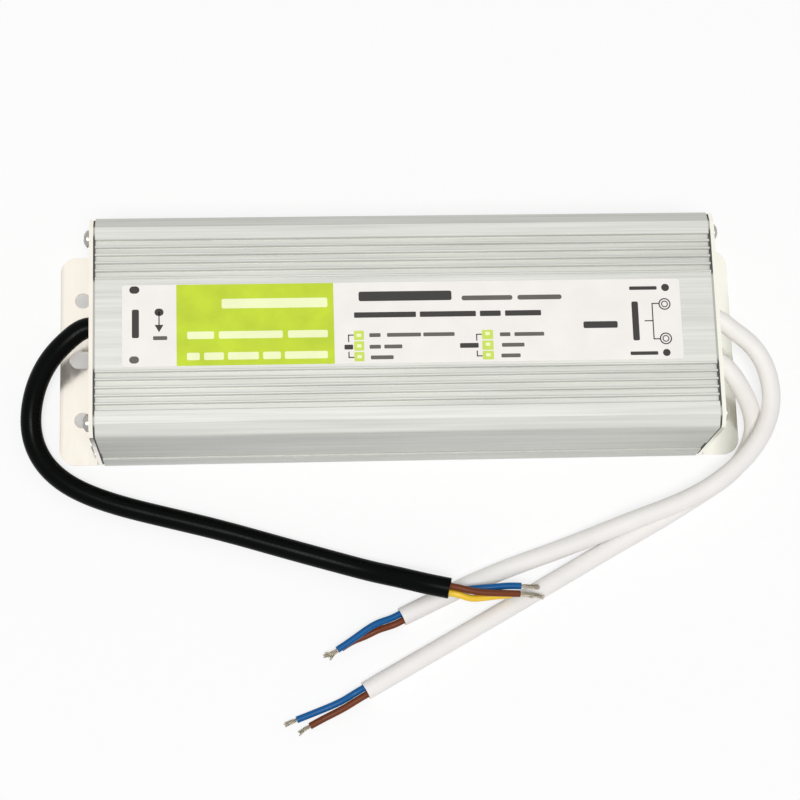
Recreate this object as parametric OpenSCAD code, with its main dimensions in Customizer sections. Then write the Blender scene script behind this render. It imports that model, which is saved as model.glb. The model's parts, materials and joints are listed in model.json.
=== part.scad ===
// Potted LED driver: a ribbed aluminium tube closed by two folded end plates,
// with the power circuit cast in resin inside and three free cords.
// X runs along the tube towards the output end, Y to the rear, Z up from the base.

/* [Housing] */
// Length of the extruded tube
housing_len = 186; // [180:1:240]
// Width across the sides of the tube
housing_w = 68; // [64:0.5:90]
// Height from the base to the flat shoulders
housing_h = 42; // [40:0.5:60]
// Thickness of the base and of the side walls
wall = 2.2; // [1.8:0.1:2.6]
// Thickness of the roof under the shoulders
roof = 3; // [2.6:0.1:3.6]
// Radius of the edges along the base
base_edge_r = 0.6; // [0.3:0.1:1]
// Width of the sloped edge of the roof
slope_w = 3; // [2:0.1:3.5]
// Drop of the sloped edge of the roof
slope_drop = 1.8; // [1:0.1:2.4]
// Radius between the sloped edge and the side
side_edge_r = 1.4; // [0.8:0.1:2]
// Depth of the long channel in each side
channel_depth = 0.6; // [0.3:0.1:0.8]
// Height of the lower edge of the side channel
channel_low = 9.5; // [8:0.5:14]
// Height of the upper edge of the side channel
channel_high = 18.5; // [16:0.5:24]
// Outer radius of the four screw ports in the corners of the bore
port_r = 3.2; // [2.8:0.1:3.6]
// Depth of the ledges that carry the circuit board
ledge_depth = 2; // [1.5:0.1:2.4]
// Thickness of each board ledge
ledge_t = 1; // [0.8:0.1:1.4]

/* [Cooling ribs] */
// Number of grooves on each side of the label
groove_count = 5; // [3:1:6]
// Distance from one groove to the next
groove_pitch = 2.45; // [2.4:0.05:2.8]
// Width of a groove
groove_w = 1.8; // [1.2:0.1:1.8]
// Depth of a groove
groove_depth = 1.4; // [0.8:0.1:1.6]
// Chamfer along the edges of a rib
rib_edge = 0.15; // [0.1:0.05:0.25]
// Width of the flat shoulder between the slope and the first groove
shoulder_w = 4; // [3:0.1:5]
// Depth of the label's bed under the shoulders
bed_depth = 0.5; // [0.3:0.1:0.8]

/* [Label] */
// Length of the label film
label_len = 168; // [120:1:172]
// Gap between the label film and the nearest groove on each side
label_gap = 1.45; // [1:0.05:4]
// Thickness of the label film
label_t = 0.2; // [0.1:0.05:0.3]
// Corner radius of the label film
label_r = 0.9; // [0.5:0.1:3]
// Shift of the label towards the input end
label_shift = 1; // [0:0.5:4]
// Shift of the label towards the front
label_front = 0.5; // [0:0.1:0.8]

/* [End plates] */
// Thickness of the plate's sheet
plate_t = 1.2; // [1:0.1:1.5]
// Set-back of the plate's edge from the tube's outline
plate_inset = 0.2; // [0.1:0.1:0.5]
// Inside radius of the fold
fold_r = 1; // [0.6:0.1:1.2]
// Reach of the mounting flange from the plate's outer face
flange_reach = 12.2; // [11:0.1:18]
// Radius of the flange's outer corners
flange_corner_r = 5; // [2:0.5:8]
// Thickness of the gasket between plate and tube
gasket_t = 0.6; // [0.4:0.1:1]
// Set-back of the gasket's edge from the tube's outline
gasket_inset = 0.5; // [0.3:0.1:0.8]

/* [Mounting holes] */
// Diameter of the round holes in the flanges
hole_d = 5; // [4:0.1:6]
// Distance of the hole centres from the flange's outer edge
hole_edge = 7; // [6:0.1:8]
// Distance between the two round holes of one flange
hole_spacing = 39; // [30:0.5:44]
// Width of the middle slot
slot_w = 5.6; // [4:0.1:6]
// Overall length of the middle slot
slot_len = 8.2; // [7:0.1:9]

/* [Screws] */
// Diameter of the pan head
screw_head_d = 5.4; // [4.5:0.1:5.8]
// Height of the pan head
screw_head_h = 2.2; // [1.6:0.1:2.6]
// Height of the domed part of the head
dome_h = 1.2; // [0.8:0.1:1.4]
// Diameter of the shank
screw_d = 2.8; // [2.5:0.1:3]
// Length of the shank under the head
screw_len = 10; // [8:0.5:14]
// Width of one arm of the cross recess
recess_w = 0.8; // [0.6:0.1:1]
// Span of the cross recess
recess_span = 3; // [2.4:0.1:3.4]
// Depth of the cross recess
recess_depth = 1.1; // [0.8:0.1:1.3]
// Clearance of the shank in its port
thread_clear = 0.02; // [0.01:0.01:0.05]
// Clearance of the screw holes in plate and gasket
screw_clear = 0.2; // [0.1:0.05:0.3]

/* [Grommets] */
// Diameter of the grommet's collars
collar_d = 10; // [9.5:0.1:12]
// Thickness of the collars
collar_t = 1.2; // [0.8:0.1:1.5]
// Diameter of the grommet's neck in the plate
neck_d = 8.4; // [8:0.1:9]
// Clearance between cord and grommet
cord_clear = 0.1; // [0.05:0.05:0.2]
// Height of the cord outlets above the base
outlet_h = 17; // [16.5:0.5:26]
// Offset of the input outlet to the rear
input_outlet_y = 6; // [-8:0.5:8]
// Distance between the two output outlets
output_outlet_spacing = 14; // [13:0.5:20]

/* [Cords] */
// Diameter of the input cord
input_cord_d = 6.5; // [5:0.1:6.6]
// Diameter of the output cords
output_cord_d = 5.8; // [5:0.1:6.6]
// Diameter of the insulated cores of the input cord
input_core_d = 2.1; // [1.8:0.1:2.2]
// Diameter of the insulated cores of the output cords
output_core_d = 2.1; // [1.8:0.1:2.2]
// Diameter of the bare twisted strands
strand_d = 1.2; // [0.8:0.1:1.3]
// Depth to which the cords reach into the tube
cord_inside = 5; // [4:0.5:6]
// Diameter of the leads from the cords to the board
lead_d = 1.8; // [1.4:0.1:1.8]
// Bend radius of the leads
lead_bend_r = 2.4; // [2:0.1:2.6]

/* [Circuit board] */
// Thickness of the circuit board
board_t = 1.6; // [1:0.1:2]
// Clearance of the board in its ledges
board_clear = 0.2; // [0.1:0.05:0.3]
// Distance of the board's ends from the ends of the tube
board_end = 6.5; // [6:0.5:8]
// Thickness of the insulating sheet on the base
sheet_t = 0.5; // [0.3:0.1:0.8]
// Clearance of the insulating sheet beside the screw ports
sheet_clear = 0.5; // [0.3:0.1:1]

/* [Power components] */
// Diameter of the fuse's end caps
fuse_d = 6; // [5:0.1:7]
// Step from the fuse's end caps down to its body
fuse_step = 0.4; // [0.2:0.1:0.6]
// Length of the fuse
fuse_len = 20; // [16:0.5:22]
// Diameter of the surge varistor
varistor_d = 12; // [9:0.5:13]
// Diameter of the inrush thermistor
thermistor_d = 11; // [8:0.5:13]
// Diameter of the interference capacitor
small_disc_d = 9; // [7:0.5:10]
// Thickness of the disc components
disc_t = 4.5; // [3:0.1:5]
// Diameter of the component pins
pin_d = 0.8; // [0.6:0.1:1]
// Length of the pins under a component's body
pin_len = 3; // [2:0.5:4]
// Length of the suppression capacitor
film_cap_len = 18; // [14:0.5:19]
// Width of the suppression capacitor
film_cap_w = 9; // [7:0.5:10]
// Height of the suppression capacitor
film_cap_h = 15; // [10:0.5:18]
// Outer diameter of the line filter's ring core
filter_d = 18; // [14:0.5:19]
// Outer diameter of the output choke's ring core
choke_d = 20; // [16:0.5:22]
// Hole diameter of the ring cores
ring_hole_d = 9; // [8:0.5:10]
// Height of the ring cores
ring_h = 8; // [6:0.5:10]
// Thickness of the wire layer on the ring cores
wire_layer = 1.4; // [1:0.1:1.6]
// Length of the bridge rectifier
bridge_len = 20; // [15:0.5:21]
// Thickness of the bridge rectifier
bridge_t = 4.5; // [3.5:0.1:5]
// Height of the bridge rectifier's body
bridge_h = 14; // [11:0.5:16]
// Diameter of the bulk capacitor
bulk_d = 22; // [18:0.5:23]
// Gap between the bulk capacitor and the roof
bulk_gap = 3.6; // [2:0.1:8]
// Diameter of the output capacitors
out_cap_d = 10; // [8:0.5:11]
// Gap between the output capacitors and the roof
out_cap_gap = 7.6; // [4:0.1:12]
// Depth of the rolled groove in the capacitor cans
can_roll = 0.5; // [0.3:0.1:0.6]
// Number of output capacitors
out_cap_count = 3; // [2:1:3]
// Length of the heat spreader bars
spreader_len = 40; // [30:1:44]
// Thickness of the heat spreader bars
spreader_t = 4; // [3:0.1:4.5]
// Gap between the heat spreader bars and the upper screw ports
spreader_gap = 1.2; // [0.5:0.1:3]
// Height of the heat spreader bars above the board
spreader_lift = 4; // [3:0.1:5]
// Width of a power transistor
transistor_w = 10; // [9:0.1:11]
// Thickness of a power transistor's body
transistor_t = 3.2; // [2.5:0.1:4]
// Height of a power transistor's body
transistor_h = 9; // [8:0.1:10]
// Thickness of a power transistor's tab
tab_t = 1.3; // [1:0.1:1.5]
// Distance of a power transistor's tab from the top of its spreader
tab_drop = 1; // [0:0.1:2]
// Length of the transformer's core
core_len = 38; // [34:0.5:40]
// Thickness of the transformer's core
core_t = 12; // [10:0.5:13]
// Gap between the transformer's core and the roof
core_gap = 3.6; // [2:0.1:8]
// Width of the core's yokes and outer legs
core_leg = 5; // [4:0.1:6]
// Width of the core's middle leg
core_mid = 10; // [8:0.1:11]
// Wall of the bobbin
bobbin_t = 1; // [0.6:0.1:1.2]
// Overhang of the bobbin's flanges at the core's faces
bobbin_reach = 6; // [4.5:0.1:7]
// Gap between the winding and the edge of the bobbin's flange
winding_gap = 0.6; // [0.4:0.1:1]
// Length of the control chip
chip_len = 10; // [8:0.5:11]
// Width of the control chip
chip_w = 4; // [3:0.5:6]
// Height of the control chip
chip_h = 1.8; // [1.4:0.1:2.6]
// Length of the optocoupler
opto_len = 6.5; // [5:0.5:8]
// Width of the optocoupler
opto_w = 4.6; // [3:0.1:5]
// Height of the optocoupler
opto_h = 3.5; // [2:0.1:4]

/* [Hidden] */
$fn = 48;
eps = 0.01;

// Section of the tube
half_w = housing_w / 2;
bore_half = half_w - wall;
bore_top = housing_h - roof;
shoulder_out = half_w - side_edge_r / 2 - slope_w;
shoulder_in = shoulder_out - shoulder_w;
bed_half = shoulder_in - groove_count * groove_pitch;
bed_z = housing_h - bed_depth;
label_w = 2 * (bed_half - label_gap);
slope_foot = housing_h - slope_drop;
port_y = bore_half - port_r;
port_low = wall + port_r;
port_high = bore_top - port_r;
ledge_z = port_low + port_r;
arc_steps = 5;

// Planes along the tube
tube_end = housing_len / 2;
plate_in = tube_end + gasket_t;
plate_out = plate_in + plate_t;
flange_end = plate_out + flange_reach;
hole_x = flange_end - hole_edge;
cord_start = tube_end - cord_inside;
exit_x = plate_out + collar_t;
output_outlet_y = output_outlet_spacing / 2;

// Circuit board and the places of the components on it
board_z = ledge_z + ledge_t + board_clear;
board_top = board_z + board_t;
board_half = tube_end - board_end;
board_half_w = bore_half - board_clear;
lead_inset = 3;
lead_x = board_half - lead_inset;
lead_gap = 0.1;
lead_pitch = lead_d + lead_gap;
headroom = bore_top - board_top;
bulk_h = headroom - bulk_gap;
out_cap_h = headroom - out_cap_gap;
core_h = headroom - core_gap;

// Distances of the components from the board's ends and long edges
fuse_in = 14;
varistor_in = 13;
thermistor_in = 24;
film_cap_in = 29;
filter_in = 28;
choke_in = 42;
out_cap_in = 24;
varistor_side = 13.6;
thermistor_side = 8.6;
film_cap_side = 11.6;
bridge_side = 7.6;
y_cap_side = 9.6;
chip_side = 9.6;
opto_side = 12.6;
fuse_x = -board_half + fuse_in;
fuse_y = -15;
varistor_x = -board_half + varistor_in;
varistor_y = board_half_w - varistor_side;
thermistor_x = -board_half + thermistor_in;
thermistor_y = -board_half_w + thermistor_side;
film_cap_x = -board_half + film_cap_in;
film_cap_y = board_half_w - film_cap_side;
filter_x = -board_half + filter_in;
filter_y = 0;
bridge_x = -26;
bridge_y = -board_half_w + bridge_side;
bulk_x = -27;
bulk_y = 2;
primary_x = -18;
secondary_x = 24;
transformer_x = 8;
y_cap_x = 8;
y_cap_y = board_half_w - y_cap_side;
chip_x = -3;
chip_y = -board_half_w + chip_side;
opto_x = 8;
opto_y = -board_half_w + opto_side;
choke_x = board_half - choke_in;
choke_y = 14;
out_cap_x = board_half - out_cap_in;
out_cap_y = -14;
can_space = 2;
out_cap_pitch = out_cap_d + can_space;
spreader_z = board_top + spreader_lift;
spreader_h = port_high - port_r - spreader_gap - spreader_z;
tab_h = spreader_h - tab_drop;
spreader_in = bore_half - spreader_t;
pin_pitch = 2.54;
pin_sink = 1;

// Routes of the free cords, from inside the tube to the cut end of the jacket
input_route = [
    [-cord_start, input_outlet_y, outlet_h], [-exit_x - 1.5, input_outlet_y, outlet_h],
    [-102.8, 2.9, 16.2], [-108.7, -2.6, 13.5], [-112.9, -9, 9.8],
    [-115.2, -16.5, 6.4], [-115.3, -24, 4.2], [-112.4, -31.9, 3.3],
    [-106, -38.9, 3.3], [-95, -44.8, 3.3], [-78, -50.1, 3.3],
    [-58, -55.4, 3.3], [-38, -61.4, 3.3], [-20, -66.8, 3.4],
    [-10, -69.8, 4.4], [-2.5, -72, 6.6], [5, -74.3, 8.8], [12.6, -76.2, 9.8]
];
rear_route = [
    [cord_start, output_outlet_y, outlet_h], [exit_x + 1.5, output_outlet_y, outlet_h],
    [104, 2.8, 16.6], [109, -1, 15.5], [112.9, -6, 14.6], [115.2, -12.5, 13.7],
    [115.6, -19.5, 13], [113.9, -26.2, 12.4], [109.2, -34.1, 11.9],
    [101.9, -41.3, 11.1], [92.8, -47.3, 10.2], [82.9, -51.7, 9.5],
    [72.5, -55.3, 8.6], [66.2, -57.5, 7.6], [59.7, -59.7, 5.9], [54, -61.6, 4.2],
    [46, -64.3, 3], [29, -70.2, 2.9], [6.9, -79.6, 2.9], [-1.9, -83.7, 2.9]
];
front_route = [
    [cord_start, -output_outlet_y, outlet_h], [exit_x + 1.5, -output_outlet_y, outlet_h],
    [102.8, -11.2, 16], [107, -16.4, 12.4], [110, -21.6, 8.4], [111, -27.3, 5.2],
    [109.4, -32.4, 4], [103.8, -39.8, 3.2], [95.4, -45.7, 2.9], [81.2, -54.1, 2.9],
    [63.6, -63.7, 2.9], [51.7, -70.3, 2.9], [34.3, -79.9, 2.9], [18.6, -88.5, 2.9],
    [-3.4, -100.5, 2.9], [-13.6, -106.1, 2.9]
];

// Routes of the insulated cores, from the jacket's end to the stripped end
core_out = 3;
input_blue = core_route(input_route, input_core_d * [-0.25, -0.5],
    [[20.2, -76.3, 9], [25.7, -76, 9], [30.9, -75.7, 8.9], [34.7, -75.8, 8.7]]);
input_brown = core_route(input_route, input_core_d * [-0.25, 0.55],
    [[20, -77.5, 11.1], [27.1, -78.1, 10.5], [34.1, -78.3, 9.6]]);
input_earth = core_route(input_route, input_core_d * [0.66, 0.02],
    [[18.9, -79.3, 9.4], [22.5, -79.2, 8.8], [26.1, -78.8, 8.4], [31.6, -78.3, 7.7]]);
rear_blue = core_route(rear_route, output_core_d * [0.52, 0],
    [[-8.7, -85.2, 3.2], [-15.3, -89, 3.3], [-19.6, -91.9, 3.3], [-22, -93.4, 3.3]]);
rear_brown = core_route(rear_route, output_core_d * [-0.52, 0],
    [[-9.2, -87.4, 1.6], [-13.6, -89.3, 1.1], [-16.8, -90.5, 1.1], [-20.7, -92.7, 1.1]]);
front_blue = core_route(front_route, output_core_d * [0.52, 0],
    [[-20, -108.4, 2], [-26.4, -111.1, 1.1], [-34.8, -114.2, 1.1]]);
front_brown = core_route(front_route, output_core_d * [-0.52, 0],
    [[-20, -110.9, 2], [-26.5, -114, 1.1], [-30.8, -116.2, 1.1]]);

// Tips of the bare strands
strand_out = 1.5;
input_tips = [[40.9, -76.4, 8], [41.8, -79.4, 8.2], [38.7, -78.9, 7.2]];
rear_tips = [[-26.6, -94.9, 2.6], [-24.8, -95.8, 0.7]];
front_tips = [[-38.7, -115.7, 0.7], [-34.5, -118.5, 0.7]];
cord_sides = 10;
core_sides = 8;

// Shapes shared by several pieces
module along_x(length) {
    rotate([90, 0, 90]) linear_extrude(length, center = true) children();
}

function arc(cy, cz, r, from, to) = [
    for (i = [0:arc_steps])
        let (a = from + (to - from) * i / arc_steps) [cy + r * cos(a), cz + r * sin(a)]
];

function mirrored(half) = concat(half, [for (i = [len(half) - 1:-1:0]) [-half[i][0], half[i][1]]]);

function unit(v) = v / norm(v);

function heading(route, i) = unit(route[min(i + 1, len(route) - 1)] - route[max(i - 1, 0)]);

// Route of a core that leaves the last point of a jacket's route at a sideways and upward offset
function core_route(route, offset, points) =
    let (last = len(route) - 1, t = heading(route, last), s = unit(cross(t, [0, 0, 1])))
    let (start = route[last] + offset[0] * s + offset[1] * cross(s, t))
    concat([start, start + core_out * t], points);

// Route of the strands from the last point of a core's route to their tip
function strand_route(core, tip) =
    let (last = len(core) - 1)
    [core[last], core[last] + strand_out * heading(core, last), tip];

function ring(route, i, d, sides) =
    let (t = heading(route, i), s = unit(cross(t, [0, 0, 1])), u = cross(s, t)) [
        for (k = [0:sides - 1])
            route[i] + d / 2 * (cos(360 * k / sides) * s + sin(360 * k / sides) * u)
    ];

// Tube of round section swept along a route, with one ring at each point
module swept_tube(route, d, sides) {
    last = len(route) - 1;
    points = [for (i = [0:last]) each ring(route, i, d, sides)];
    walls = [
        for (i = [0:last - 1], k = [0:sides - 1])
            let (n = (k + 1) % sides)
            [i * sides + k, i * sides + n, (i + 1) * sides + n, (i + 1) * sides + k]
    ];
    start_cap = [for (k = [sides - 1:-1:0]) k];
    end_cap = [for (k = [0:sides - 1]) last * sides + k];
    polyhedron(points, concat([start_cap], walls, [end_cap]), convexity = 6);
}

// Places its children at the four screw ports, seen along the tube
module at_ports() {
    for (y = [-port_y, port_y], z = [port_low, port_high]) translate([y, z]) children();
}

// Outline of the tube's section without its bore
side_edge = arc(half_w - side_edge_r, slope_foot - side_edge_r, side_edge_r, 0,
    90 - atan2(slope_drop, slope_w));

groove_points = [
    for (i = [0:groove_count - 1])
        let (y = shoulder_in - i * groove_pitch, floor_z = housing_h - groove_depth)
        each [
            [y + rib_edge, housing_h], [y, housing_h - rib_edge],
            [y, floor_z], [y - groove_w, floor_z],
            [y - groove_w, housing_h - rib_edge], [y - groove_w - rib_edge, housing_h]
        ]
];

side_points = concat(
    arc(half_w - base_edge_r, base_edge_r, base_edge_r, -90, 0),
    [
        [half_w, channel_low], [half_w - channel_depth, channel_low],
        [half_w - channel_depth, channel_high], [half_w, channel_high]
    ],
    side_edge
);

outer_half = concat(
    side_points,
    [[shoulder_out, housing_h]],
    groove_points,
    [[bed_half + rib_edge, housing_h], [bed_half, housing_h - rib_edge], [bed_half, bed_z]]
);

module bore_section() {
    difference() {
        translate([-bore_half, wall]) square([2 * bore_half, bore_top - wall]);
        at_ports() circle(port_r);
        for (s = [-1, 1]) {
            for (z = [wall, port_high]) {
                translate([s * (bore_half - port_r / 2), z + port_r / 2])
                    square([port_r, port_r], center = true);
            }
            for (z = [ledge_z, board_top + board_clear]) {
                translate([s * (bore_half - ledge_depth / 2), z + ledge_t / 2])
                    square([ledge_depth, ledge_t], center = true);
            }
        }
    }
}

// Outline of the end plates and gaskets, set back from the tube's section
module end_outline(inset, low) {
    polygon(mirrored([
        [half_w - inset, low], [half_w - inset, slope_foot - side_edge_r],
        [half_w - inset - side_edge_r / 2, slope_foot - inset],
        [shoulder_out, housing_h - inset]
    ]));
}

module outlet_holes(outlets, d) {
    for (y = outlets) translate([y, outlet_h]) circle(d = d);
}

module housing() {
    color([0.84, 0.85, 0.84]) along_x(housing_len) difference() {
        polygon(mirrored(outer_half));
        bore_section();
        at_ports() circle(d = screw_d);
    }
}

module rating_label() {
    inner_len = label_len - 2 * label_r;
    inner_w = label_w - 2 * label_r;
    color("white") translate([-label_shift, -label_front, bed_z]) linear_extrude(label_t) {
        square([label_len, inner_w], center = true);
        square([inner_len, label_w], center = true);
        for (x = [-inner_len / 2, inner_len / 2], y = [-inner_w / 2, inner_w / 2])
            translate([x, y]) circle(label_r);
    }
}

// Folded end plate at the output end, with its outlets at the given offsets
module end_plate(outlets) {
    flange_w = half_w - plate_inset;
    fold_x = plate_out + fold_r;
    fold_z = plate_t + fold_r;
    straight = flange_end - fold_x;
    color([0.95, 0.94, 0.9]) difference() {
        union() {
            translate([plate_in + plate_t / 2, 0, 0]) along_x(plate_t)
                end_outline(plate_inset, fold_z);
            translate([fold_x, 0, fold_z]) rotate([90, 0, 0]) difference() {
                cylinder(r = fold_r + plate_t, h = 2 * flange_w, center = true);
                cylinder(r = fold_r, h = 2 * flange_w + 1, center = true);
                translate([0, -fold_r - plate_t - eps, -half_w])
                    cube([2 * fold_z, 3 * fold_z, housing_w]);
                translate([-2 * fold_z, 0, -half_w]) cube([3 * fold_z, 2 * fold_z, housing_w]);
            }
            linear_extrude(plate_t) {
                translate([fold_x, -flange_w]) square([straight - flange_corner_r, 2 * flange_w]);
                translate([fold_x, -flange_w + flange_corner_r])
                    square([straight, 2 * (flange_w - flange_corner_r)]);
                for (y = [-1, 1])
                    translate([flange_end - flange_corner_r, y * (flange_w - flange_corner_r)])
                        circle(flange_corner_r);
            }
        }
        for (y = [-hole_spacing / 2, hole_spacing / 2])
            translate([hole_x, y, -1]) cylinder(d = hole_d, h = plate_t + 2);
        translate([hole_x, 0, -1]) linear_extrude(plate_t + 2) {
            square([slot_len - slot_w, slot_w], center = true);
            for (s = [-1, 1]) translate([s * (slot_len - slot_w) / 2, 0]) circle(d = slot_w);
        }
        translate([plate_in + plate_t / 2, 0, 0]) along_x(plate_t + 2) {
            at_ports() circle(d = screw_d + 2 * screw_clear);
            outlet_holes(outlets, neck_d);
        }
    }
}

module output_end_plate() {
    end_plate([-output_outlet_y, output_outlet_y]);
}

module input_end_plate() {
    rotate([0, 0, 180]) end_plate([-input_outlet_y]);
}

module gasket(outlets) {
    color([0.62, 0.62, 0.6]) translate([tube_end + gasket_t / 2, 0, 0]) along_x(gasket_t)
        difference() {
            end_outline(gasket_inset, gasket_inset);
            at_ports() circle(d = screw_d + 2 * screw_clear);
            outlet_holes(outlets, neck_d);
        }
}

module output_gasket() {
    gasket([-output_outlet_y, output_outlet_y]);
}

module input_gasket() {
    rotate([0, 0, 180]) gasket([-input_outlet_y]);
}

// Pan-head screw along +X with the underside of its head at the origin
module pan_screw() {
    rim_r = screw_head_d / 2;
    dome_r = (pow(rim_r, 2) + pow(dome_h, 2)) / (2 * dome_h);
    half_angle = asin(rim_r / dome_r);
    dome = [
        for (i = [0:arc_steps])
            let (a = half_angle * (1 - i / arc_steps))
            [dome_r * sin(a), screw_head_h - dome_r + dome_r * cos(a)]
    ];
    shank_r = screw_d / 2 - thread_clear;
    rotate([0, 90, 0]) difference() {
        rotate_extrude() polygon(concat(
            [[0, -screw_len], [shank_r, -screw_len], [shank_r, 0], [rim_r, 0]], dome
        ));
        for (a = [0, 90]) rotate([0, 0, a])
            translate([-recess_span / 2, -recess_w / 2, screw_head_h - recess_depth])
                cube([recess_span, recess_w, 2 * recess_depth]);
    }
}

module end_screws() {
    color([0.75, 0.75, 0.73]) for (y = [-port_y, port_y], z = [port_low, port_high])
        translate([plate_out, y, z]) pan_screw();
}

module output_end_screws() {
    end_screws();
}

module input_end_screws() {
    rotate([0, 0, 180]) end_screws();
}

// Rubber grommet at the output end, gripping plate and gasket between two collars
module grommet(y, cord_d) {
    seat = plate_out - tube_end;
    bore_r = cord_d / 2 + cord_clear;
    translate([tube_end, y, outlet_h]) rotate([0, 90, 0]) rotate_extrude() polygon([
        [bore_r, -collar_t], [collar_d / 2, -collar_t], [collar_d / 2, 0], [neck_d / 2, 0],
        [neck_d / 2, seat], [collar_d / 2, seat], [collar_d / 2, seat + collar_t / 2],
        [collar_d / 2 - collar_t / 2, seat + collar_t], [bore_r, seat + collar_t]
    ]);
}

module input_grommet() {
    color([0.1, 0.1, 0.1]) rotate([0, 0, 180]) grommet(-input_outlet_y, input_cord_d);
}

module output_grommet_rear() {
    color([0.9, 0.89, 0.87]) grommet(output_outlet_y, output_cord_d);
}

module output_grommet_front() {
    color([0.9, 0.89, 0.87]) grommet(-output_outlet_y, output_cord_d);
}

// Space of a cord inside the output end of the tube, wider in the grommet's bore
module cord_pocket(y, cord_d) {
    translate([cord_start, y, outlet_h]) rotate([0, 90, 0]) {
        cylinder(d = cord_d, h = cord_inside);
        translate([0, 0, cord_inside - collar_t])
            cylinder(d = cord_d + 2 * cord_clear, h = 2 * collar_t);
    }
}

module cord_pockets() {
    for (y = [-output_outlet_y, output_outlet_y]) cord_pocket(y, output_cord_d);
    rotate([0, 0, 180]) cord_pocket(-input_outlet_y, input_cord_d);
}

module potting_resin() {
    color([0.2, 0.2, 0.21]) difference() {
        along_x(housing_len) bore_section();
        cord_pockets();
        input_grommet();
        output_grommet_rear();
        output_grommet_front();
        insulating_sheet();
        circuit_board();
        board_components();
        input_leads();
        output_leads();
    }
}

module insulating_sheet() {
    sheet_w = 2 * (port_y - port_r - sheet_clear);
    color([0.9, 0.88, 0.8]) translate([0, 0, wall + sheet_t / 2])
        cube([2 * board_half, sheet_w, sheet_t], center = true);
}

module circuit_board() {
    color([0.16, 0.42, 0.24]) translate([0, 0, board_z + board_t / 2])
        cube([2 * board_half, 2 * board_half_w, board_t], center = true);
}

// All components that stand on the board
module board_components() {
    fuse();
    surge_varistor();
    inrush_thermistor();
    suppression_capacitor();
    line_filter_core();
    line_filter_winding();
    bridge_rectifier();
    bulk_capacitor();
    primary_heat_spreader();
    switching_transistor();
    transformer_core();
    transformer_bobbin();
    transformer_winding();
    secondary_heat_spreader();
    output_rectifier();
    output_choke_core();
    output_choke_winding();
    output_capacitors();
    interference_capacitor();
    control_chip();
    optocoupler();
}

module fuse() {
    cap_len = fuse_len / 4;
    color([0.85, 0.85, 0.8]) translate([fuse_x, fuse_y, board_top + fuse_d / 2])
        rotate([90, 0, 0]) {
            cylinder(d = fuse_d - 2 * fuse_step, h = fuse_len, center = true);
            for (s = [-1, 1]) translate([0, 0, s * (fuse_len - cap_len) / 2])
                cylinder(d = fuse_d, h = cap_len, center = true);
        }
}

// Coated disc standing on two pins
module disc_component(d) {
    for (y = [-d / 4, d / 4])
        translate([0, y, board_top]) cylinder(d = pin_d, h = pin_len + d / 4);
    translate([0, 0, board_top + pin_len + d / 2]) rotate([0, 90, 0])
        cylinder(d = d, h = disc_t, center = true);
}

module surge_varistor() {
    color([0.1, 0.25, 0.6]) translate([varistor_x, varistor_y, 0]) disc_component(varistor_d);
}

module inrush_thermistor() {
    color([0.15, 0.2, 0.15]) translate([thermistor_x, thermistor_y, 0])
        disc_component(thermistor_d);
}

module interference_capacitor() {
    color([0.15, 0.35, 0.7]) translate([y_cap_x, y_cap_y, 0]) disc_component(small_disc_d);
}

module suppression_capacitor() {
    color([0.85, 0.7, 0.15]) translate([film_cap_x, film_cap_y, board_top + film_cap_h / 2])
        cube([film_cap_len, film_cap_w, film_cap_h], center = true);
}

// Ring core lying over the board on its wire layer
module ring_core(d) {
    translate([0, 0, board_top + wire_layer]) difference() {
        cylinder(d = d, h = ring_h);
        translate([0, 0, -1]) cylinder(d = ring_hole_d, h = ring_h + 2);
    }
}

// Wire wound round a ring core over the angles given
module ring_winding(d, starts, sweep) {
    outer = d / 2 + wire_layer;
    inner = ring_hole_d / 2 - wire_layer;
    difference() {
        for (a = starts) rotate([0, 0, a]) translate([0, 0, board_top])
            rotate_extrude(angle = sweep) translate([inner, 0])
                square([outer - inner, ring_h + 2 * wire_layer]);
        ring_core(d);
    }
}

module line_filter_core() {
    color([0.3, 0.3, 0.3]) translate([filter_x, filter_y, 0]) ring_core(filter_d);
}

module line_filter_winding() {
    color([0.72, 0.4, 0.18]) translate([filter_x, filter_y, 0])
        ring_winding(filter_d, [20, 200], 140);
}

module output_choke_core() {
    color([0.85, 0.75, 0.2]) translate([choke_x, choke_y, 0]) ring_core(choke_d);
}

module output_choke_winding() {
    color([0.72, 0.4, 0.18]) translate([choke_x, choke_y, 0]) ring_winding(choke_d, [30], 300);
}

module bridge_rectifier() {
    foot = board_top + pin_len;
    notch = bridge_t / 2;
    color([0.12, 0.12, 0.12]) translate([bridge_x, bridge_y, 0]) {
        translate([0, bridge_t / 2, foot]) rotate([90, 0, 0]) linear_extrude(bridge_t) polygon([
            [-bridge_len / 2, 0], [bridge_len / 2, 0], [bridge_len / 2, bridge_h],
            [-bridge_len / 2 + notch, bridge_h], [-bridge_len / 2, bridge_h - notch]
        ]);
        for (i = [-1.5:1:1.5]) translate([i * bridge_len / 4, 0, board_top])
            cylinder(d = pin_d, h = pin_len + pin_sink);
    }
}

// Electrolytic can standing on the board, with a rolled groove near its foot
module can_capacitor(d, h) {
    r = d / 2;
    translate([0, 0, board_top]) rotate_extrude() polygon([
        [0, 0], [r, 0], [r, 3 * can_roll], [r - can_roll, 4 * can_roll], [r, 5 * can_roll],
        [r, h - can_roll], [r - can_roll, h], [0, h]
    ]);
}

module bulk_capacitor() {
    color([0.12, 0.14, 0.2]) translate([bulk_x, bulk_y, 0]) can_capacitor(bulk_d, bulk_h);
}

module output_capacitors() {
    color([0.12, 0.14, 0.2]) for (i = [0:out_cap_count - 1])
        translate([out_cap_x, out_cap_y + i * out_cap_pitch, 0])
            can_capacitor(out_cap_d, out_cap_h);
}

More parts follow.
